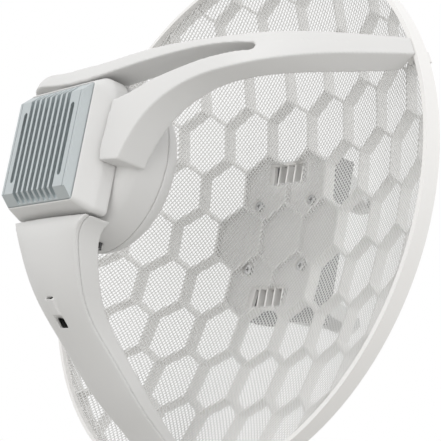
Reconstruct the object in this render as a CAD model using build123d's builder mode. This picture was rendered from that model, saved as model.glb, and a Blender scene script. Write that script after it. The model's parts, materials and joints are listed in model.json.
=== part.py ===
"""Parabolic grid antenna: honeycomb reflector, three-armed feed support and pole clamp.

Frame: the origin lies on the pole's axis at mid-height, +Z runs up the pole, and the
dish looks along -Y.  A distance "ahead" is measured from the dish's vertex towards -Y.
"""
from build123d import *
import os

os.makedirs("parts", exist_ok=True)

# ---------------------------------------------------------------- driving dimensions (mm)
pole_radius = 25.0
vertex_setback = 46.0        # pole axis to the dish's vertex
focal_length = 167.0

# reflector
dish_radius = 195.5
rim_wall = 3.0
rim_step = 0.25              # ledge where the ribs meet the rim
rim_front = 58.7             # rim's front edge, ahead of the vertex
rim_depth = 12.0
rib_depth = 9.5
rib_wall = 1.8
cell_pitch = 43.5
row_pitch = cell_pitch * 3 ** 0.5 / 2
mesh_thickness = 0.8
plate_recess = 4.0
plate_thickness = 3.0
plate_half_height = 56.5
window_width = 36.0
window_height = 14.5
window_centre = 47.25
fin_pitch = 8.4
fin_width = 1.6
boss_x = 28.7
boss_z = 24.7
boss_radius = 3.75
head_seat = 2.2              # bosses' front faces, behind the vertex
foot_screw_radius = 187.0    # radius of the circle through the three arm screws
foot_boss_radius = 4.5
foot_boss_rear = 39.9
arm_angles = (30, 150, 270)
screw_clearance_radius = 2.1
screw_core_radius = 2.0
foot_pilot_radius = 1.6

# pole bracket and hose clamps
block_front = 10.0           # bracket's front face, behind the vertex
block_half_width = 39.0
block_half_height = 60.0
block_rear_y = -12.0
band_thickness = 0.7
band_height = 12.0
band_front_y = -31.0
band_corner_x = 33.0
worm_radius = 3.95
worm_clearance = 0.05
worm_axis_y = 31.6
worm_housing_length = 15.0

# head
sink_half_width = 37.1
sink_bottom = -37.4
sink_top = 39.8
sink_base = 204.6
sink_front = 211.2
sink_chamfer = 6.6
sink_recess = 3.0
case_half_width = 44.5
case_bottom = -43.0
case_top = 49.5
case_shoulder = 190.5
case_rear = 180.0
case_inside = 198.6
case_lip = 1.2
seam = 0.3
pedestal_half = 17.0
pedestal_reach = 9.0
sink_screw_x = 27.0
sink_screw_z = 29.0
groove_pitch = 6.2
groove_width = 3.9
groove_depth = 6.0
groove_count = 8
short_groove = 49.0
step_x = 34.6
hub_radius = 56.0
hub_rear = 150.0
hub_front_edge = 168.0
hub_opening = 42.0           # radius of the way from the hub into the case
hub_wall = 2.6
radome_depth = 18.0

# arms
arm_skin = 2.4
foot_screw_core = 1.5
foot_screw_tip = 72.0        # ahead of the vertex
cover_drop = 3.4             # the cover's thickness, measured along the dish's axis
cover_gap = 0.2
cover_top = -45.0
channel_wall = 5.4
channel_top = -68.0
channel_bottom = -180.0
bed_top = -40.0
cover_bottom = -184.0
latch_z = -100.0
latch_width = 9.5
latch_length = 9.0
latch_rise = 1.8
latch_floor = 162.0
latch_slot = 1.4
latch_gap = 6.0
arm_groove_width = 1.3
arm_groove_depth = 1.0

# network socket, reset button and indicator lights, in the hub's underside
socket_ahead = 162.0
socket_width = 16.0
socket_height = 13.5
button_x = 15.0
button_radius = 1.8
button_clearance = 0.08
light_x = 19.0
light_pitch = 4.0
light_count = 4
light_radius = 1.2
grommet_ahead = 70.5


# ---------------------------------------------------------------- shared helpers
def ahead(distance):
    """The Y of a point this far in front of the dish's vertex."""
    return -vertex_setback - distance


def front_plane(distance):
    """A plane square to the dish's axis: local x is +X, local y is +Z, normal -Y."""
    return Plane.XZ.offset(vertex_setback + distance)


def bowl_depth(radius):
    return radius ** 2 / (4 * focal_length)


def bowl_line(radius, back):
    """The paraboloid's section, moved back from the reflecting surface."""
    return Bezier(
        (0, ahead(-back)),
        (radius / 2, ahead(-back)),
        (radius, ahead(bowl_depth(radius) - back)),
    )


def bowl_shell(radius, front_back, rear_back):
    """A closed section between two paraboloids, to revolve round the Y axis."""
    with BuildSketch(Plane.XY) as section:
        with BuildLine():
            front = bowl_line(radius, front_back)
            rear = bowl_line(radius, rear_back)
            Line(front @ 1, rear @ 1)
            Line(front @ 0, rear @ 0)
        make_face()
    return section.sketch


def cell_centres():
    """Centres of the honeycomb's cells, as (column, row, x, z)."""
    centres = []
    for row in range(-6, 7):
        for column in range(-6, 7):
            x = (column + 0.5 * (row % 2)) * cell_pitch
            z = row * row_pitch
            if (x * x + z * z) ** 0.5 < dish_radius + cell_pitch / 2:
                centres.append((column, row, x, z))
    return centres


def shifted(points, depth_root, depth_tip):
    """A profile moved towards the dish, square to its own run."""
    last = len(points) - 1
    moved = []
    for index, (r, d) in enumerate(points):
        before = points[max(index - 1, 0)]
        after = points[min(index + 1, last)]
        run = Vector(after[0] - before[0], after[1] - before[1]).normalized()
        depth = depth_root + (depth_tip - depth_root) * index / last
        moved.append((max(r + run.Y * depth, 0), d - run.X * depth))
    return moved


def profile_face(outer, inner):
    """A closed section between an outer and an inner arm profile of (radius, ahead)."""
    outer_line = [(r, ahead(d)) for r, d in outer]
    inner_line = [(r, ahead(d)) for r, d in inner]
    with BuildSketch(Plane.XY) as section:
        with BuildLine():
            Spline(*outer_line)
            Line(outer_line[-1], inner_line[-1])
            Spline(*inner_line)
            Line(inner_line[0], outer_line[0])
        make_face()
    return section.sketch


def arm_pair_outline(margin):
    """Front outline of the two upper arms and their joining band, shrunk by a margin."""
    top = [(0, 60.5), (30, 62.5), (67, 70), (106, 76), (135, 85.5), (154, 96.5), (172, 107)]
    low = [(180, 96), (161, 81), (143, 66), (126, 56.7), (98, 44.7), (77, 26), (66, 6), (60, -10)]
    top = shifted(top, margin, margin)
    low = shifted(low, margin, margin)
    with BuildSketch(Plane.XZ) as outline:
        with BuildLine():
            Spline(*top)
            Line(top[-1], low[0])
            Spline(*low)
            Line(low[-1], (0, low[-1][1]))
            Line((0, low[-1][1]), top[0])
        make_face()
        mirror(about=Plane.YZ)
    return outline.sketch


def arm_groove_outline():
    """The thin line that carries on from each slot along the arm."""
    high = [(120, 71.2), (138, 78.6), (155.5, 89.2)]
    low = shifted(high, arm_groove_width, arm_groove_width)
    with BuildSketch(Plane.XZ) as outline:
        with BuildLine():
            Spline(*high)
            Line(high[-1], low[-1])
            Spline(*low)
            Line(low[0], high[0])
        make_face()
        mirror(about=Plane.YZ)
    return outline.sketch


def arm_slot_outline(margin):
    """The tapering slot that splits each upper arm into two bands, grown by a margin."""
    high = [(10, 50.2), (50, 56.6), (90, 67), (123, 72)]
    low = [(122, 66.2), (87.5, 53.5), (68, 43), (55, 35), (40, 31)]
    high = shifted(high, -margin, -margin)
    low = shifted(low, -margin, -margin)
    with BuildSketch(Plane.XZ) as outline:
        with BuildLine():
            Spline(*high)
            ThreePointArc(high[-1], (125.5 + margin, 69.6), low[0])
            Spline(*low)
            Line(low[-1], high[0])
        make_face()
        mirror(about=Plane.YZ)
    return outline.sketch


upper_profile = [(0, 196), (56, 193), (102.5, 176), (143, 152), (178.7, 96), (195.5, 58)]
# lower arm, station by station: height, half width, crest ahead of the vertex, crown, side depth
lower_stations = [
    (-45, 42, 196, 2, 20),
    (-60, 33, 197, 4, 20),
    (-80, 29, 190.5, 7, 19),
    (-100, 24.5, 177.5, 8, 19),
    (-120, 23, 156, 8, 18),
    (-140, 23, 133, 8, 17),
    (-160, 20.5, 105, 7, 16),
    (-180, 20, 79, 6, 14),
    (-197, 19, 56, 5, 12),
]
far_ahead = 260.0


def revolved(section):
    """A section in the XY plane turned round the dish's axis."""
    with BuildPart() as body:
        add(section)
        revolve(axis=Axis.Y)
    return body.part


# ---------------------------------------------------------------- reflector
rib_band = revolved(bowl_shell(dish_radius, mesh_thickness, mesh_thickness + rib_depth))
plate_front = mesh_thickness + plate_recess
plate_band = revolved(bowl_shell(dish_radius, plate_front, plate_front + plate_thickness))

with BuildSketch(Plane.XZ) as open_cells:
    for column, row, x, z in cell_centres():
        with Locations((x, z)):
            RegularPolygon((cell_pitch - rib_wall) / 2, 6, major_radius=False, rotation=30)
    Circle(dish_radius - rim_wall - rim_step, mode=Mode.INTERSECT)

with BuildSketch(Plane.XZ) as closed_cells:
    for column, row, x, z in cell_centres():
        if (x * x + z * z) ** 0.5 < cell_pitch * 1.01:
            with Locations((x, z)):
                RegularPolygon(cell_pitch / 2, 6, major_radius=False, rotation=30)
    Rectangle(cell_pitch, 2 * plate_half_height)

with BuildPart() as centre_plate:
    extrude(closed_cells.sketch, amount=far_ahead)
    add(plate_band, mode=Mode.INTERSECT)

with BuildPart() as reflector_frame:
    with BuildSketch(Plane.XZ):
        Circle(dish_radius - rim_wall / 2)
        add(open_cells.sketch, mode=Mode.SUBTRACT)
    extrude(amount=far_ahead)
    add(rib_band, mode=Mode.INTERSECT)
    add(centre_plate.part)
    # bosses that meet the pole bracket
    with BuildSketch(front_plane(-block_front)):
        with GridLocations(2 * boss_x, 2 * boss_z, 2, 2):
            Circle(boss_radius + 2)
    extrude(amount=block_front - head_seat)
    # rim
    with BuildSketch(front_plane(rim_front - rim_depth)):
        Circle(dish_radius)
        Circle(dish_radius - rim_wall, mode=Mode.SUBTRACT)
    extrude(amount=rim_depth)
    # screw bosses under the arms' feet
    with BuildSketch(front_plane(foot_boss_rear)):
        with PolarLocations(foot_screw_radius, 3, start_angle=arm_angles[0]):
            Circle(foot_boss_radius)
            with Locations((foot_boss_radius / 2, 0)):
                Rectangle(foot_boss_radius + 2, 2 * foot_boss_radius)
    extrude(amount=rim_front - foot_boss_rear)
    # windows, with upright fins across them
    with BuildSketch(Plane.XZ):
        with GridLocations(0, 2 * window_centre, 1, 2):
            Rectangle(window_width, window_height)
    extrude(amount=far_ahead, mode=Mode.SUBTRACT)
    with BuildSketch(front_plane(-block_front)):
        with GridLocations(fin_pitch, 2 * window_centre, 4, 2):
            Rectangle(fin_width, window_height + 1)
    extrude(amount=block_front - 1.0)
    # screw holes
    with BuildSketch(Plane.XZ):
        with GridLocations(2 * boss_x, 2 * boss_z, 2, 2):
            Circle(screw_clearance_radius)
        with PolarLocations(foot_screw_radius, 3, start_angle=arm_angles[0]):
            Circle(foot_pilot_radius)
    extrude(amount=far_ahead, mode=Mode.SUBTRACT)
    with BuildSketch(front_plane(-head_seat)):
        with GridLocations(2 * boss_x, 2 * boss_z, 2, 2):
            Circle(boss_radius + 0.1)
    extrude(amount=far_ahead, mode=Mode.SUBTRACT)
reflector_frame.part.label = "reflector_frame"
export_step(reflector_frame.part, "parts/reflector_frame.step")

with BuildPart() as reflector_mesh:
    add(bowl_shell(dish_radius - rim_wall - rim_step - 0.05, 0, mesh_thickness))
    revolve(axis=Axis.Y)
    with BuildSketch(Plane.XZ):
        with GridLocations(0, 2 * window_centre, 1, 2):
            Rectangle(window_width, window_height)
        with GridLocations(2 * boss_x, 2 * boss_z, 2, 2):
            Circle(boss_radius + 0.3)
        with PolarLocations(foot_screw_radius, 3, start_angle=arm_angles[0]):
            Circle(foot_boss_radius + 0.3)
            with Locations((foot_boss_radius, 0)):
                Rectangle(2 * foot_boss_radius, 2 * foot_boss_radius + 0.6)
    extrude(amount=far_ahead, mode=Mode.SUBTRACT)
reflector_mesh.part.label = "reflector_mesh"
export_step(reflector_mesh.part, "parts/reflector_mesh.step")

# ---------------------------------------------------------------- pole bracket
def band_line(gap):
    """A band's loop: round the pole and square across the bracket, grown by a gap."""
    with BuildSketch(Plane.XY) as loop:
        Circle(pole_radius + gap)
        with Locations((band_corner_x, band_front_y + 4.0), (-band_corner_x, band_front_y + 4.0)):
            Circle(4.0 + gap)
        make_hull()
    return loop.sketch


block_face = ahead(-block_front)
with BuildPart() as mount_block:
    with BuildSketch(Plane.XY.offset(-block_half_height)):
        with BuildLine():
            Polyline(
                (-block_half_width, block_face),
                (block_half_width, block_face),
                (block_half_width, block_rear_y - 8),
                (block_half_width - 9, block_rear_y),
                (9 - block_half_width, block_rear_y),
                (-block_half_width, block_rear_y - 8),
                close=True,
            )
        make_face()
        Circle(pole_radius, mode=Mode.SUBTRACT)
    extrude(amount=2 * block_half_height)
    # windows that carry on from the reflector's, and the passages for the two bands
    with BuildSketch(front_plane(-block_front)):
        with GridLocations(0, 2 * window_centre, 1, 2):
            Rectangle(window_width, window_height)
    extrude(amount=-block_front, mode=Mode.SUBTRACT)
    for z in (window_centre, -window_centre):
        with BuildSketch(Plane.XY.offset(z - window_height / 2)):
            add(band_line(band_thickness + 0.8))
        extrude(amount=window_height, mode=Mode.SUBTRACT)
    # lightening pockets in the cheeks
    with BuildSketch(Plane.XZ.offset(-block_rear_y)):
        with GridLocations(2 * 34.0, 24.0, 2, 3):
            Rectangle(5.0, 19.0)
    extrude(amount=16.0, mode=Mode.SUBTRACT)
    # pilot holes for the four screws
    with BuildSketch(front_plane(-block_front)):
        with GridLocations(2 * boss_x, 2 * boss_z, 2, 2):
            Circle(screw_core_radius)
    extrude(amount=-14.0, mode=Mode.SUBTRACT)
mount_block.part.label = "mount_block"
export_step(mount_block.part, "parts/mount_block.step")

with BuildPart() as mount_screws:
    with BuildSketch(front_plane(0.6)):
        with GridLocations(2 * boss_x, 2 * boss_z, 2, 2):
            Circle(boss_radius)
    extrude(amount=-2.8)
    with BuildSketch(front_plane(-head_seat)):
        with GridLocations(2 * boss_x, 2 * boss_z, 2, 2):
            Circle(screw_core_radius)
    extrude(amount=-21.0)
    with BuildSketch(front_plane(0.6)):
        with GridLocations(2 * boss_x, 2 * boss_z, 2, 2):
            Rectangle(3.6, 0.9)
            Rectangle(0.9, 3.6)
    extrude(amount=-1.2, mode=Mode.SUBTRACT)
mount_screws.part.label = "mount_screws"
export_step(mount_screws.part, "parts/mount_screws.step")


def hose_clamp(z, name):
    """One band with its worm housing and its worm screw."""
    with BuildPart() as band:
        with BuildSketch(Plane.XY.offset(z - band_height / 2)):
            add(band_line(band_thickness))
            add(band_line(0), mode=Mode.SUBTRACT)
        extrude(amount=band_height)
    band.part.label = "band_" + name
    export_step(band.part, "parts/band_" + name + ".step")

    outer = pole_radius + band_thickness
    with BuildPart() as housing:
        with BuildSketch(Plane.YZ.offset(-worm_housing_length / 2)):
            with Locations(((outer + worm_axis_y + 5.6) / 2 - 1, z)):
                RectangleRounded(worm_axis_y + 7.6 - outer, band_height + 2, 2.5)
        extrude(amount=worm_housing_length)
        Cylinder(outer + 0.05, band_height + 6, mode=Mode.SUBTRACT)
        with BuildSketch(Plane.XY.offset(z)):
            Circle(outer + 0.05)
        extrude(amount=band_height, both=True, mode=Mode.SUBTRACT)
        with BuildSketch(Plane.YZ.offset(-worm_housing_length)):
            with Locations((worm_axis_y, z)):
                Circle(worm_radius + worm_clearance)
        extrude(amount=2 * worm_housing_length, mode=Mode.SUBTRACT)
    housing.part.label = "worm_housing_" + name
    export_step(housing.part, "parts/worm_housing_" + name + ".step")

    with BuildPart() as screw:
        with BuildSketch(Plane.YZ.offset(-worm_housing_length / 2 - 1.5)):
            with Locations((worm_axis_y, z)):
                Circle(worm_radius)
        extrude(amount=worm_housing_length + 3.5)
        with BuildSketch(Plane.YZ.offset(worm_housing_length / 2 + 0.3)):
            with Locations((worm_axis_y, z)):
                RegularPolygon(5.0, 6)
        extrude(amount=5.0)
        with BuildSketch(Plane.YZ.offset(worm_housing_length / 2 + 4.0)):
            with Locations((worm_axis_y, z)):
                Rectangle(12.0, 1.2)
        extrude(amount=3.0, mode=Mode.SUBTRACT)
    screw.part.label = "worm_screw_" + name
    export_step(screw.part, "parts/worm_screw_" + name + ".step")


hose_clamp(window_centre, "upper")
hose_clamp(-window_centre, "lower")

# ---------------------------------------------------------------- feed support
case_mid = (case_top + case_bottom) / 2
foot_plane = rim_front + 0.1


def case_outline(margin, distance):
    """Front outline of the case, with round upper corners, grown by a margin."""
    with BuildSketch(front_plane(distance)) as outline:
        with Locations((0, case_mid)):
            Rectangle(2 * (case_half_width + margin), case_top - case_bottom + 2 * margin)
        fillet(outline.vertices().group_by(Axis.Y)[-1], 19)
        fillet(outline.vertices().group_by(Axis.Y)[0], 4)
    return outline.sketch


def lower_loft(drop, extra_depth, widen=0):
    """The lower arm's body, its crowned front set back by drop and its rear by extra_depth."""
    with BuildPart() as body:
        for z, half, crest, crown, side in lower_stations:
            reach = half + widen
            edge = ahead(crest - crown * (reach / half) ** 2 - drop)
            back = ahead(crest - crown - side - extra_depth)
            with BuildSketch(Plane.XY.offset(z)):
                with BuildLine():
                    ThreePointArc((-reach, edge), (0, ahead(crest - drop)), (reach, edge))
                    Polyline((reach, edge), (reach - 1, back), (1 - reach, back), (-reach, edge))
                make_face()
        loft()
    return body.part


def lower_strip(margin, top, bottom):
    """The space over the lower arm, narrowed by a margin each side, between two heights."""
    with BuildPart() as body:
        for z, half, crest, crown, side in lower_stations:
            with BuildSketch(Plane.XY.offset(z)):
                with Locations((0, ahead(far_ahead / 2))):
                    Rectangle(2 * (half - margin), far_ahead)
        loft()
        with BuildSketch(Plane.XY.offset(bottom)):
            Rectangle(4 * dish_radius, 4 * dish_radius + far_ahead)
        extrude(amount=top - bottom, mode=Mode.INTERSECT)
    return body.part


upper_body = revolved(profile_face(upper_profile, shifted(upper_profile, 25, 13)))
upper_hollow = revolved(profile_face(
    shifted(upper_profile, arm_skin, arm_skin),
    shifted(upper_profile, 40, 20),
))

groove_shell = revolved(profile_face(
    shifted(upper_profile, -2, -2),
    shifted(upper_profile, arm_groove_depth, arm_groove_depth),
))

with BuildSketch(Plane.XZ) as upper_face:
    add(arm_pair_outline(0))
    add(arm_slot_outline(0), mode=Mode.SUBTRACT)

with BuildSketch(Plane.XZ) as upper_inside:
    add(arm_pair_outline(arm_skin))
    add(arm_slot_outline(arm_skin), mode=Mode.SUBTRACT)

with BuildPart() as upper_cavity:
    extrude(upper_inside.sketch, amount=far_ahead)
    add(upper_hollow, mode=Mode.INTERSECT)
    with BuildSketch(Plane.XZ):
        Circle(foot_screw_radius - 8)
        Circle(hub_radius + 4, mode=Mode.SUBTRACT)
    extrude(amount=far_ahead, mode=Mode.INTERSECT)

with BuildPart() as cover_bed:
    add(lower_loft(-8, 0, 5))
    add(lower_strip(-cover_gap - 4, bed_top, cover_bottom - cover_gap), mode=Mode.INTERSECT)
    add(lower_loft(cover_drop + cover_gap, 30, 5), mode=Mode.SUBTRACT)

with BuildPart() as channel:
    add(lower_loft(-8, -3))
    add(lower_strip(channel_wall, channel_top, channel_bottom), mode=Mode.INTERSECT)

with BuildPart() as case_space:
    extrude(case_outline(seam, case_rear), amount=far_ahead - case_rear)

with BuildPart() as upper_groove:
    extrude(arm_groove_outline(), amount=far_ahead)
    add(groove_shell, mode=Mode.INTERSECT)

with BuildPart() as upper_arms:
    extrude(upper_face.sketch, amount=far_ahead)
    add(upper_body, mode=Mode.INTERSECT)
    add(upper_cavity.part, mode=Mode.SUBTRACT)
    add(upper_groove.part, mode=Mode.SUBTRACT)

with BuildPart() as lower_arm:
    add(lower_loft(0, 0))
    add(channel.part, mode=Mode.SUBTRACT)
    add(cover_bed.part, mode=Mode.SUBTRACT)

with BuildPart() as feed_tripod:
    # hub
    with BuildSketch(Plane.XY):
        with BuildLine():
            Polyline((0, ahead(hub_rear)), (hub_radius, ahead(hub_rear)), (hub_radius, ahead(hub_front_edge)))
            ThreePointArc(
                (hub_radius, ahead(hub_front_edge)),
                (hub_radius - 3.5, ahead(case_rear - 3.5)),
                (hub_radius - 12, ahead(case_rear)),
            )
            Polyline((hub_radius - 12, ahead(case_rear)), (0, ahead(case_rear)), (0, ahead(hub_rear)))
        make_face()
    revolve(axis=Axis.Y)
    # arms
    add(upper_arms.part)
    add(lower_arm.part)
    add(case_space.part, mode=Mode.SUBTRACT)
    # room for the boards
    with BuildSketch(front_plane(hub_rear)):
        Circle(hub_radius - hub_wall)
    extrude(amount=hub_front_edge - hub_rear + 0.4, mode=Mode.SUBTRACT)
    with BuildSketch(front_plane(hub_rear)):
        Circle(hub_opening)
    extrude(amount=far_ahead - hub_rear, mode=Mode.SUBTRACT)
    # flat feet on the rim
    with BuildSketch(front_plane(foot_plane)):
        Circle(dish_radius + 10)
    extrude(amount=-foot_plane, mode=Mode.SUBTRACT)
    with BuildSketch(front_plane(0)):
        with PolarLocations(foot_screw_radius, 3, start_angle=arm_angles[0]):
            Circle(foot_screw_core)
    extrude(amount=foot_screw_tip, mode=Mode.SUBTRACT)
    # mouth for the network socket, the button and the indicator lights
    with BuildSketch(Plane.XY.offset(-hub_radius - 4)):
        with Locations((0, ahead(socket_ahead))):
            Rectangle(socket_width + 0.6, socket_height + 0.6)
        with Locations((button_x, ahead(socket_ahead))):
            Circle(button_radius + button_clearance)
        with Locations((-light_x, ahead(socket_ahead))):
            with GridLocations(light_pitch, 0, light_count, 1):
                Circle(light_radius)
    extrude(amount=22, mode=Mode.SUBTRACT)
feed_tripod.part.label = "feed_tripod"
export_step(feed_tripod.part, "parts/feed_tripod.step")

with BuildPart() as latch_pad:
    add(lower_loft(-latch_rise, 0))
    add(lower_loft(cover_drop / 2, 30, 5), mode=Mode.SUBTRACT)
    with BuildSketch(front_plane(latch_floor)):
        with Locations((0, latch_z)):
            Rectangle(latch_width, latch_length)
    extrude(amount=far_ahead - latch_floor, mode=Mode.INTERSECT)

with BuildPart() as cable_cover:
    add(lower_loft(0, 0))
    add(lower_strip(-4, cover_top, cover_bottom), mode=Mode.INTERSECT)
    add(lower_loft(cover_drop, 30, 5), mode=Mode.SUBTRACT)
    # thumb tab of the latch, with a slot above it and an opening below it
    add(latch_pad.part)
    with BuildSketch(Plane.XZ):
        with Locations((0, latch_z + (latch_length + latch_slot) / 2)):
            Rectangle(latch_width - 1.5, latch_slot)
        with Locations((0, latch_z - (latch_length + latch_gap) / 2)):
            Rectangle(latch_width, latch_gap)
    extrude(amount=far_ahead, mode=Mode.SUBTRACT)
cable_cover.part.label = "cable_cover"
export_step(cable_cover.part, "parts/cable_cover.step")

# ---------------------------------------------------------------- case and heat sink
sink_mid = (sink_top + sink_bottom) / 2
sink_height = sink_top - sink_bottom
sink_rear = sink_base - sink_recess


def sink_outline(margin, distance, corner):
    """The heat sink's rectangle, grown by a margin, on a plane ahead of the vertex."""
    with BuildSketch(front_plane(distance)) as outline:
        with Locations((0, sink_mid)):
            RectangleRounded(2 * (sink_half_width + margin), sink_height + 2 * margin, corner)
    return outline.sketch


with BuildPart() as front_case:
    extrude(case_outline(0, case_rear), amount=case_shoulder - case_rear)
    loft([case_outline(0, case_shoulder).face(), sink_outline(case_lip, sink_base, 3).face()])
    # inside
    extrude(sink_outline(1.5, case_rear, 3), amount=case_inside - case_rear, mode=Mode.SUBTRACT)
    # seat of the heat sink and the opening for its pedestal
    extrude(sink_outline(0.15, sink_rear, 0.5), amount=sink_recess, mode=Mode.SUBTRACT)
    with BuildSketch(front_plane(case_rear)):
        with Locations((0, sink_mid)):
            Rectangle(2 * pedestal_half + 1, 2 * pedestal_half + 1)
        with Locations((0, sink_mid)):
            with GridLocations(2 * sink_screw_x, 2 * sink_screw_z, 2, 2):
                Circle(screw_clearance_radius)
    extrude(amount=far_ahead - case_rear, mode=Mode.SUBTRACT)
front_case.part.label = "front_case"
export_step(front_case.part, "parts/front_case.step")

with BuildPart() as heat_sink:
    with BuildSketch(front_plane(sink_rear)):
        with Locations((0, sink_mid)):
            Rectangle(2 * sink_half_width, sink_height)
    extrude(amount=sink_front - sink_rear)
    chamfer(
        heat_sink.faces().sort_by(Axis.Y)[0].edges().filter_by(Axis.X),
        sink_chamfer,
    )
    with BuildSketch(front_plane(sink_front)):
        with Locations((0, sink_mid)):
            with GridLocations(groove_pitch, 0, groove_count, 1):
                Rectangle(groove_width, sink_height + 2)
    extrude(amount=-groove_depth, mode=Mode.SUBTRACT)
    with BuildSketch(front_plane(sink_front)):
        with Locations((0, sink_mid)):
            with GridLocations((groove_count + 1) * groove_pitch, 0, 2, 1):
                SlotOverall(short_groove, groove_width, rotation=90)
    extrude(amount=-groove_depth, mode=Mode.SUBTRACT)
    # step lines along both long edges
    with BuildSketch(front_plane(sink_front)):
        with Locations((0, sink_mid)):
            with GridLocations(2 * step_x, 0, 2, 1):
                Rectangle(0.5, sink_height + 2)
    extrude(amount=-0.6, mode=Mode.SUBTRACT)
    # pedestal that reaches the chip, and the blind screw holes
    with BuildSketch(front_plane(sink_rear)):
        with Locations((0, sink_mid)):
            Rectangle(2 * pedestal_half, 2 * pedestal_half)
    extrude(amount=-pedestal_reach)
    with BuildSketch(front_plane(sink_rear)):
        with Locations((0, sink_mid)):
            with GridLocations(2 * sink_screw_x, 2 * sink_screw_z, 2, 2):
                Circle(foot_screw_core)
    extrude(amount=3.0, mode=Mode.SUBTRACT)
heat_sink.part.label = "heat_sink"
export_step(heat_sink.part, "parts/heat_sink.step")

with BuildPart() as sink_screws:
    for x in (-sink_screw_x, sink_screw_x):
        for z in (sink_mid - sink_screw_z, sink_mid + sink_screw_z):
            with BuildSketch(front_plane(case_inside)):
                with Locations((x, z)):
                    Circle(3.2)
            extrude(amount=-2.2)
            with BuildSketch(front_plane(case_inside)):
                with Locations((x, z)):
                    Circle(foot_screw_core)
            extrude(amount=sink_rear - case_inside + 3.0)
sink_screws.part.label = "sink_screws"
export_step(sink_screws.part, "parts/sink_screws.step")

with BuildPart() as arm_screws:
    for angle in arm_angles:
        with BuildSketch(front_plane(foot_boss_rear)):
            with PolarLocations(foot_screw_radius, 1, start_angle=angle):
                Circle(3.2)
        extrude(amount=-2.4)
        with BuildSketch(front_plane(foot_boss_rear)):
            with PolarLocations(foot_screw_radius, 1, start_angle=angle):
                Circle(foot_screw_core)
        extrude(amount=foot_screw_tip - foot_boss_rear)
arm_screws.part.label = "arm_screws"
export_step(arm_screws.part, "parts/arm_screws.step")

# ---------------------------------------------------------------- inside the head
board_half = 33.0
board_thickness = 1.6
pedestal_face = sink_rear - pedestal_reach
pad_thickness = 0.5
chip_height = 1.6
board_front = pedestal_face - pad_thickness - chip_height

with BuildPart() as thermal_pad:
    with BuildSketch(front_plane(pedestal_face)):
        with Locations((0, sink_mid)):
            Rectangle(28, 28)
    extrude(amount=-pad_thickness)
thermal_pad.part.label = "thermal_pad"
export_step(thermal_pad.part, "parts/thermal_pad.step")

with BuildPart() as radio_chip:
    with BuildSketch(front_plane(pedestal_face - pad_thickness)):
        with Locations((0, sink_mid)):
            Rectangle(22, 22)
    extrude(amount=-chip_height)
radio_chip.part.label = "radio_chip"
export_step(radio_chip.part, "parts/radio_chip.step")

with BuildPart() as main_board:
    with BuildSketch(front_plane(board_front)):
        with Locations((0, sink_mid)):
            Rectangle(2 * board_half, 2 * board_half)
            with GridLocations(2 * sink_screw_x, 2 * sink_screw_z, 2, 2):
                Circle(screw_clearance_radius, mode=Mode.SUBTRACT)
    extrude(amount=-board_thickness)
main_board.part.label = "main_board"
export_step(main_board.part, "parts/main_board.step")

board_rear = board_front - board_thickness
with BuildPart() as board_posts:
    with BuildSketch(front_plane(board_front)):
        with Locations((0, sink_mid)):
            with GridLocations(2 * sink_screw_x, 2 * sink_screw_z, 2, 2):
                Circle(3.4)
                Circle(screw_core_radius, mode=Mode.SUBTRACT)
    extrude(amount=case_inside - 2.2 - board_front)
board_posts.part.label = "board_posts"
export_step(board_posts.part, "parts/board_posts.step")

with BuildPart() as board_screws:
    for x in (-sink_screw_x, sink_screw_x):
        for z in (sink_mid - sink_screw_z, sink_mid + sink_screw_z):
            with BuildSketch(front_plane(board_rear)):
                with Locations((x, z)):
                    Circle(3.2)
            extrude(amount=-2.0)
            with BuildSketch(front_plane(board_rear)):
                with Locations((x, z)):
                    Circle(screw_core_radius)
            extrude(amount=board_thickness + 3.5)
board_screws.part.label = "board_screws"
export_step(board_screws.part, "parts/board_screws.step")

with BuildPart() as shield_can:
    with BuildSketch(front_plane(board_rear)):
        with Locations((0, 12)):
            RectangleRounded(40, 26, 1)
    extrude(amount=-4.0)
    with BuildSketch(front_plane(board_rear)):
        with Locations((0, 12)):
            RectangleRounded(39.4, 25.4, 0.7)
    extrude(amount=-3.7, mode=Mode.SUBTRACT)
shield_can.part.label = "shield_can"
export_step(shield_can.part, "parts/shield_can.step")

antenna_front = 152.0
with BuildPart() as antenna_board:
    with BuildSketch(front_plane(antenna_front)):
        Circle(hub_radius - hub_wall - 1.4)
    extrude(amount=-1.2)
antenna_board.part.label = "antenna_board"
export_step(antenna_board.part, "parts/antenna_board.step")

with BuildPart() as antenna_posts:
    with BuildSketch(front_plane(antenna_front)):
        with PolarLocations(29, 4):
            Circle(3)
    extrude(amount=board_rear - antenna_front)
antenna_posts.part.label = "antenna_posts"
export_step(antenna_posts.part, "parts/antenna_posts.step")

with BuildPart() as patch_element:
    with BuildSketch(front_plane(antenna_front - 1.2)):
        Rectangle(25, 25)
    extrude(amount=-5.0)
patch_element.part.label = "patch_element"
export_step(patch_element.part, "parts/patch_element.step")

with BuildPart() as ground_disc:
    with BuildSketch(front_plane(antenna_front - 1.2)):
        Circle(30)
        Rectangle(26, 26, mode=Mode.SUBTRACT)
    extrude(amount=-0.5)
ground_disc.part.label = "ground_disc"
export_step(ground_disc.part, "parts/ground_disc.step")

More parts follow.
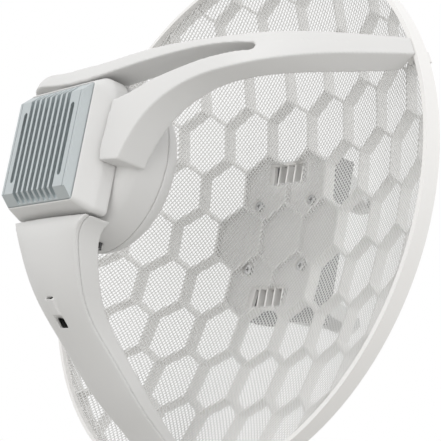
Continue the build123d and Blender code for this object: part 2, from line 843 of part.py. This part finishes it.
# rear window of the head, transparent to radio
with BuildPart() as radome:
    with BuildSketch(Plane.XY):
        with BuildLine():
            rise = Spline(
                (0, ahead(hub_rear - radome_depth)),
                (hub_radius * 0.55, ahead(hub_rear - radome_depth + 1.2)),
                (hub_radius, ahead(hub_rear)),
                tangents=[(1, 0), (0.1, -1)],
            )
            Polyline(rise @ 1, (0, ahead(hub_rear)), rise @ 0)
        make_face()
    revolve(axis=Axis.Y)
    with BuildSketch(Plane.XY):
        with BuildLine():
            rise = Spline(
                (0, ahead(hub_rear - radome_depth + 2)),
                (hub_radius * 0.52, ahead(hub_rear - radome_depth + 3.2)),
                (hub_radius - 2.4, ahead(hub_rear)),
                tangents=[(1, 0), (0.1, -1)],
            )
            Polyline(rise @ 1, (0, ahead(hub_rear)), rise @ 0)
        make_face()
    revolve(axis=Axis.Y, mode=Mode.SUBTRACT)
radome.part.label = "radome"
export_step(radome.part, "parts/radome.step")

with BuildPart() as hub_gasket:
    with BuildSketch(front_plane(case_rear)):
        Circle(hub_opening - 0.2)
        Circle(hub_opening - 2.2, mode=Mode.SUBTRACT)
    extrude(amount=-1.5)
hub_gasket.part.label = "hub_gasket"
export_step(hub_gasket.part, "parts/hub_gasket.step")

# network socket below the hub, with its opening facing down
with BuildPart() as network_socket:
    with BuildSketch(Plane.XY.offset(-hub_radius)):
        with Locations((0, ahead(socket_ahead))):
            Rectangle(socket_width, socket_height)
    extrude(amount=19)
    with BuildSketch(Plane.XY.offset(-hub_radius)):
        with Locations((0, ahead(socket_ahead))):
            Rectangle(11.8, 7.0)
        with Locations((0, ahead(socket_ahead - 4.2))):
            Rectangle(6.0, 2.4)
    extrude(amount=13, mode=Mode.SUBTRACT)
network_socket.part.label = "network_socket"
export_step(network_socket.part, "parts/network_socket.step")

with BuildPart() as reset_button:
    with BuildSketch(Plane.XY.offset(-hub_radius - 1.0)):
        with Locations((button_x, ahead(socket_ahead))):
            Circle(button_radius)
    extrude(amount=9.0)
    with BuildSketch(Plane.XY.offset(-hub_radius + 7.0)):
        with Locations((button_x, ahead(socket_ahead))):
            Circle(button_radius + 0.9)
    extrude(amount=1.0)
reset_button.part.label = "reset_button"
export_step(reset_button.part, "parts/reset_button.step")

with BuildPart() as indicator_lights:
    for index in range(light_count):
        x = -light_x + (index - (light_count - 1) / 2) * light_pitch
        with BuildSketch(Plane.XY.offset(-(hub_radius ** 2 - x ** 2) ** 0.5 - 0.2)):
            with Locations((x, ahead(socket_ahead))):
                Circle(light_radius)
        extrude(amount=6.0)
indicator_lights.part.label = "indicator_lights"
export_step(indicator_lights.part, "parts/indicator_lights.step")

# rubber seal where the cable leaves the lower arm
with BuildPart() as cable_grommet:
    with BuildSketch(Plane.XY.offset(cover_bottom + 4)):
        with Locations((0, ahead(grommet_ahead))):
            RectangleRounded(12, 6, 2)
            Rectangle(9, 0.4, mode=Mode.SUBTRACT)
    extrude(amount=3)
cable_grommet.part.label = "cable_grommet"
export_step(cable_grommet.part, "parts/cable_grommet.step")
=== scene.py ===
import json
import math

import bmesh
import bpy
from mathutils import Matrix, Vector


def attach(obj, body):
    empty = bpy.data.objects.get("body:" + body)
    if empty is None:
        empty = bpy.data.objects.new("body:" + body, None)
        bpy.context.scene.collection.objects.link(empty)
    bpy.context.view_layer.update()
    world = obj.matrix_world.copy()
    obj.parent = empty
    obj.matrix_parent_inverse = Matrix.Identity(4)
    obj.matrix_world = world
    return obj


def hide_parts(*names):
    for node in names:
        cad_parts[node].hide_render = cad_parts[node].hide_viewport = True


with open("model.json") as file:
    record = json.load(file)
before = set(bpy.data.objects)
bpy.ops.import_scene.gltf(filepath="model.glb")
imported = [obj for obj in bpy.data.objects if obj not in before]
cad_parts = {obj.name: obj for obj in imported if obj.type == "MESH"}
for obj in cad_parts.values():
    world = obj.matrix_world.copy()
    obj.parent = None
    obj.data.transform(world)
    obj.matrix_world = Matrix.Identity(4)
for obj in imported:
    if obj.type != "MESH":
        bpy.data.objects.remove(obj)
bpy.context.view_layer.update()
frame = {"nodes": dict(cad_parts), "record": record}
nodes = frame["nodes"]

# ---------------------------------------------------------------- sizes, in metres
VERTEX_Y = -0.046
FOCAL_LENGTH = 0.167
MESH_RADIUS = 0.1922
WIRE_PITCH = 0.00255
WIRE_WIDTH = 0.00066
WIRE_THICKNESS = 0.00036
WIRE_STEP = 0.0045           # length of one straight stretch of wire
WIRE_PROBE = 0.0005          # spacing of the tests for where a wire is cut
NEAR_LAYER = 0.00015         # depth of the two sets of wires behind the bowl's surface
FAR_LAYER = 0.00042
WINDOW_HALF = (0.018, 0.00725)
WINDOW_Z = 0.04725
BOSS = (0.0287, 0.0247)
BOSS_RADIUS = 0.0041
FOOT_RADIUS = 0.187
FOOT_CLEAR = 0.0052
ARM_ANGLES = (30, 150, 270)
FLOOR_REACH = 6.0
FLOOR_Z = -0.75
LAMP_TARGET = (0, -0.12, 0)
DIAGONAL = math.sqrt(0.5)


# ---------------------------------------------------------------- camera
def aim_camera():
    """A long lens, below and to the right of the dish's axis, rolled a little."""
    data = bpy.data.cameras.new("camera")
    camera = bpy.data.objects.new("camera", data)
    bpy.context.scene.collection.objects.link(camera)
    forward = Vector((-0.76907, 0.59377, 0.23658)).normalized()
    right = Vector((0.63467, 0.75325, 0.17267))
    right = (right - forward * right.dot(forward)).normalized()
    up = right.cross(forward)
    turn = Matrix((right, up, -forward)).transposed().to_4x4()
    camera.matrix_world = Matrix.Translation((0.8165, -0.7323, -0.2565)) @ turn
    data.sensor_width = 36.0
    data.lens = 122.33
    data.clip_start = 0.01
    data.clip_end = 50
    bpy.context.scene.camera = camera


# ---------------------------------------------------------------- materials
def new_material(name, base, roughness, metallic=0.0):
    """A material with its node tree and its shader."""
    material = bpy.data.materials.new(name)
    material.use_nodes = True
    tree = material.node_tree
    shader = tree.nodes["Principled BSDF"]
    shader.inputs["Base Color"].default_value = (*base, 1)
    shader.inputs["Roughness"].default_value = roughness
    shader.inputs["Metallic"].default_value = metallic
    return material, tree, shader


def noise(tree, scale, detail=3.0, stretch=(1, 1, 1)):
    """Noise in the object's own space, stretched along its axes."""
    place = tree.nodes.new("ShaderNodeTexCoord")
    mapping = tree.nodes.new("ShaderNodeMapping")
    mapping.inputs["Scale"].default_value = stretch
    texture = tree.nodes.new("ShaderNodeTexNoise")
    texture.inputs["Scale"].default_value = scale
    texture.inputs["Detail"].default_value = detail
    tree.links.new(place.outputs["Object"], mapping.inputs["Vector"])
    tree.links.new(mapping.outputs["Vector"], texture.inputs["Vector"])
    return texture.outputs["Fac"]


def spread(tree, fac, low, high):
    """A noise value brought between two numbers."""
    ramp = tree.nodes.new("ShaderNodeMapRange")
    ramp.inputs["From Min"].default_value = 0.3
    ramp.inputs["From Max"].default_value = 0.7
    ramp.inputs["To Min"].default_value = low
    ramp.inputs["To Max"].default_value = high
    tree.links.new(fac, ramp.inputs["Value"])
    return ramp.outputs["Result"]


def tint(tree, shader, fac, dark, light):
    """Colour that drifts between two close shades."""
    mix = tree.nodes.new("ShaderNodeMix")
    mix.data_type = "RGBA"
    mix.inputs["A"].default_value = (*dark, 1)
    mix.inputs["B"].default_value = (*light, 1)
    tree.links.new(fac, mix.inputs["Factor"])
    tree.links.new(mix.outputs["Result"], shader.inputs["Base Color"])


def grain(tree, shader, fac, strength, distance):
    """Fine relief on the surface."""
    bump = tree.nodes.new("ShaderNodeBump")
    bump.inputs["Strength"].default_value = strength
    bump.inputs["Distance"].default_value = distance
    tree.links.new(fac, bump.inputs["Height"])
    tree.links.new(bump.outputs["Normal"], shader.inputs["Normal"])


def plastic(name, dark, light, roughness, grain_scale=2600, relief=0.00004):
    """Moulded plastic: slow drift of shade, fine spark-eroded grain."""
    material, tree, shader = new_material(name, light, roughness)
    tint(tree, shader, noise(tree, 14), dark, light)
    polish = spread(tree, noise(tree, 60), roughness - 0.05, roughness + 0.05)
    tree.links.new(polish, shader.inputs["Roughness"])
    grain(tree, shader, noise(tree, grain_scale, 2), 0.35, relief)
    return material


def metal(name, dark, light, roughness, stretch=(1, 1, 1), scale=900, relief=0.00002):
    """Metal with a directional or blasted finish."""
    material, tree, shader = new_material(name, light, roughness, metallic=1.0)
    fac = noise(tree, scale, 3, stretch)
    tint(tree, shader, fac, dark, light)
    polish = spread(tree, fac, roughness - 0.08, roughness + 0.08)
    tree.links.new(polish, shader.inputs["Roughness"])
    grain(tree, shader, fac, 0.3, relief)
    return material


MATERIALS = {
    "shell_plastic": plastic("shell_plastic", (0.66, 0.655, 0.645), (0.70, 0.697, 0.69), 0.42),
    "frame_plastic": plastic("frame_plastic", (0.81, 0.80, 0.785), (0.86, 0.85, 0.835), 0.45),
    "mesh_wire": plastic("mesh_wire", (0.72, 0.72, 0.71), (0.78, 0.78, 0.77), 0.5),
    "sink_metal": metal("sink_metal", (0.56, 0.60, 0.61), (0.63, 0.67, 0.68), 0.55, scale=2400),
    # painted shade: the bracket is coloured dark grey to stand in for the shadow it sits in behind
    # the dish
    "bracket_plastic": plastic("bracket_plastic", (0.20, 0.20, 0.205), (0.25, 0.25, 0.255), 0.5),
    "clamp_steel": metal("clamp_steel", (0.62, 0.62, 0.61), (0.74, 0.74, 0.73), 0.42, (0.1, 0.1, 3)),
    "screw_steel": metal("screw_steel", (0.48, 0.48, 0.48), (0.62, 0.62, 0.61), 0.35),
    "board_laminate": plastic("board_laminate", (0.012, 0.07, 0.03), (0.02, 0.10, 0.045), 0.35),
    "chip_black": plastic("chip_black", (0.015, 0.015, 0.016), (0.03, 0.03, 0.032), 0.5),
    "pad_rubber": plastic("pad_rubber", (0.22, 0.24, 0.25), (0.28, 0.30, 0.32), 0.7),
    "can_metal": metal("can_metal", (0.60, 0.61, 0.62), (0.72, 0.73, 0.74), 0.3),
    "patch_metal": metal("patch_metal", (0.52, 0.36, 0.16), (0.66, 0.47, 0.22), 0.35),
    "socket_black": plastic("socket_black", (0.012, 0.012, 0.013), (0.025, 0.025, 0.027), 0.3),
    "light_clear": plastic("light_clear", (0.60, 0.68, 0.60), (0.72, 0.80, 0.72), 0.15),
    "button_plastic": plastic("button_plastic", (0.03, 0.03, 0.03), (0.05, 0.05, 0.05), 0.35),
}
slots = {row["node"]: row["material_slot"] for row in frame["record"]["subparts"]}


def dress(piece, material):
    """Give a new piece its one material."""
    piece.data.materials.clear()
    piece.data.materials.append(material)


def dress_nodes():
    """Give every carried-over node the material of its slot."""
    for name, piece in nodes.items():
        for material_slot in piece.material_slots:
            material_slot.material = MATERIALS[slots[name]]


# ---------------------------------------------------------------- moulded shells
def softened(node, body, voxel, rounds, keep=1.0):
    """A shell whose edges are eased as a mould eases them, in place of its CAD node."""
    source = nodes[node]
    piece = bpy.data.objects.new(node + "_shell", source.data.copy())
    bpy.context.scene.collection.objects.link(piece)
    piece.matrix_world = source.matrix_world.copy()
    remesh = piece.modifiers.new("remesh", "REMESH")
    remesh.mode = "VOXEL"
    remesh.voxel_size = voxel
    smooth = piece.modifiers.new("smooth", "SMOOTH")
    smooth.factor = 0.5
    smooth.iterations = rounds
    if keep < 1:
        thin = piece.modifiers.new("thin", "DECIMATE")
        thin.ratio = keep
    bake(piece)
    piece.data.shade_smooth()
    dress(piece, MATERIALS[slots[node]])
    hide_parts(node)
    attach(piece, body)


def bake(piece):
    """Turn a piece's modifiers into its mesh."""
    graph = bpy.context.evaluated_depsgraph_get()
    result = bpy.data.meshes.new_from_object(piece.evaluated_get(graph))
    piece.modifiers.clear()
    piece.data = result


# ---------------------------------------------------------------- wire face
def bowl(x, z, back):
    """A point on the reflecting surface, moved back from it."""
    return Vector((x, VERTEX_Y - (x * x + z * z) / (4 * FOCAL_LENGTH) + back, z))


def blocked(x, z):
    """True where the wire face is cut away."""
    if x * x + z * z > MESH_RADIUS ** 2:
        return True
    if abs(x) < WINDOW_HALF[0] and abs(abs(z) - WINDOW_Z) < WINDOW_HALF[1]:
        return True
    if math.hypot(abs(x) - BOSS[0], abs(z) - BOSS[1]) < BOSS_RADIUS:
        return True
    for angle in ARM_ANGLES:
        cx = FOOT_RADIUS * math.cos(math.radians(angle))
        cz = FOOT_RADIUS * math.sin(math.radians(angle))
        if math.hypot(x - cx, z - cz) < FOOT_CLEAR:
            return True
    return False


def wire_runs(along, across, offset):
    """Stretches of one wire that are not cut away, as (start, end) along it."""
    reach = int(MESH_RADIUS / WIRE_PROBE) + 1
    runs = []
    start = None
    for position in range(-reach, reach + 1):
        travel = position * WIRE_PROBE
        x = along[0] * travel + across[0] * offset
        z = along[1] * travel + across[1] * offset
        if blocked(x, z):
            if start is not None and travel - start > 3 * WIRE_PROBE:
                runs.append((start, travel - WIRE_PROBE))
            start = None
        elif start is None:
            start = travel
    return runs


def wire_face(name, along, across, back):
    """One set of parallel wires, laid on the bowl."""
    mesh = bmesh.new()
    count = int(MESH_RADIUS / WIRE_PITCH)
    half = WIRE_WIDTH / 2
    section = (
        (-half, 0),
        (0, -WIRE_THICKNESS / 3),
        (half, 0),
        (half, WIRE_THICKNESS),
        (-half, WIRE_THICKNESS),
    )
    sides = len(section)
    for index in range(-count, count + 1):
        offset = index * WIRE_PITCH
        for start, end in wire_runs(along, across, offset):
            parts = max(1, round((end - start) / WIRE_STEP))
            ring = None
            for part in range(parts + 1):
                travel = start + (end - start) * part / parts
                x = along[0] * travel + across[0] * offset
                z = along[1] * travel + across[1] * offset
                corners = []
                for side, depth in section:
                    point = bowl(x + across[0] * side, z + across[1] * side, back + depth)
                    corners.append(mesh.verts.new(point))
                if ring:
                    for k in range(sides):
                        following = (k + 1) % sides
                        mesh.faces.new((ring[k], ring[following], corners[following], corners[k]))
                else:
                    mesh.faces.new(corners)
                ring = corners
            mesh.faces.new(ring[::-1])
    bmesh.ops.recalc_face_normals(mesh, faces=mesh.faces[:])
    data = bpy.data.meshes.new(name)
    mesh.to_mesh(data)
    mesh.free()
    piece = bpy.data.objects.new(name, data)
    bpy.context.scene.collection.objects.link(piece)
    data.shade_smooth()
    dress(piece, MATERIALS["mesh_wire"])
    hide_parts("reflector_mesh")
    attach(piece, "antenna")


# ---------------------------------------------------------------- studio
def studio():
    """White sky above, dim surround below, three soft lamps and a pale floor."""
    world = bpy.data.worlds.new("studio")
    bpy.context.scene.world = world
    world.use_nodes = True
    tree = world.node_tree
    place = tree.nodes.new("ShaderNodeTexCoord")
    split = tree.nodes.new("ShaderNodeSeparateXYZ")
    height = tree.nodes.new("ShaderNodeMapRange")
    height.interpolation_type = "SMOOTHSTEP"
    height.inputs["From Min"].default_value = -0.35
    height.inputs["From Max"].default_value = -0.02
    height.inputs["To Min"].default_value = 0.06
    height.inputs["To Max"].default_value = 1.0
    tree.links.new(place.outputs["Generated"], split.inputs["Vector"])
    tree.links.new(split.outputs["Z"], height.inputs["Value"])
    background = tree.nodes["Background"]
    background.inputs["Color"].default_value = (1.0, 1.0, 1.0, 1)
    tree.links.new(height.outputs["Result"], background.inputs["Strength"])
    floor_material, tree, shader = new_material("floor", (0.52, 0.515, 0.50), 0.8)
    tint(tree, shader, noise(tree, 3), (0.50, 0.495, 0.48), (0.54, 0.535, 0.52))
    mesh = bpy.data.meshes.new("floor")
    turns = ((-1, -1), (1, -1), (1, 1), (-1, 1))
    corners = [(x * FLOOR_REACH, y * FLOOR_REACH, FLOOR_Z) for x, y in turns]
    mesh.from_pydata(corners, [], [(0, 1, 2, 3)])
    floor = bpy.data.objects.new("floor", mesh)
    mesh.materials.append(floor_material)
    bpy.context.scene.collection.objects.link(floor)
    lamp("key", (0.6, -1.6, 1.9), 1.2, 8)
    lamp("front", (0.9, -2.2, 0.1), 1.4, 9)
    lamp("side", (1.9, 0.2, 0.1), 0.9, 2.5)


def lamp(name, place, width, power):
    """A round soft lamp turned to the antenna's middle."""
    data = bpy.data.lights.new(name, "AREA")
    data.shape = "DISK"
    data.size = width
    data.energy = power
    light = bpy.data.objects.new(name, data)
    bpy.context.scene.collection.objects.link(light)
    light.location = place
    aim = Vector(LAMP_TARGET) - Vector(place)
    light.rotation_euler = aim.to_track_quat("-Z", "Y").to_euler()


aim_camera()
dress_nodes()
wire_face("wires_rising", (DIAGONAL, DIAGONAL), (-DIAGONAL, DIAGONAL), NEAR_LAYER)
wire_face("wires_falling", (DIAGONAL, -DIAGONAL), (DIAGONAL, DIAGONAL), FAR_LAYER)
softened("feed_tripod", "antenna", 0.0009, 4, keep=0.4)
softened("cable_cover", "cover", 0.0006, 3)
softened("front_case", "antenna", 0.0007, 14)
softened("radome", "antenna", 0.0009, 3)
studio()
bpy.context.scene.view_settings.view_transform = "Standard"
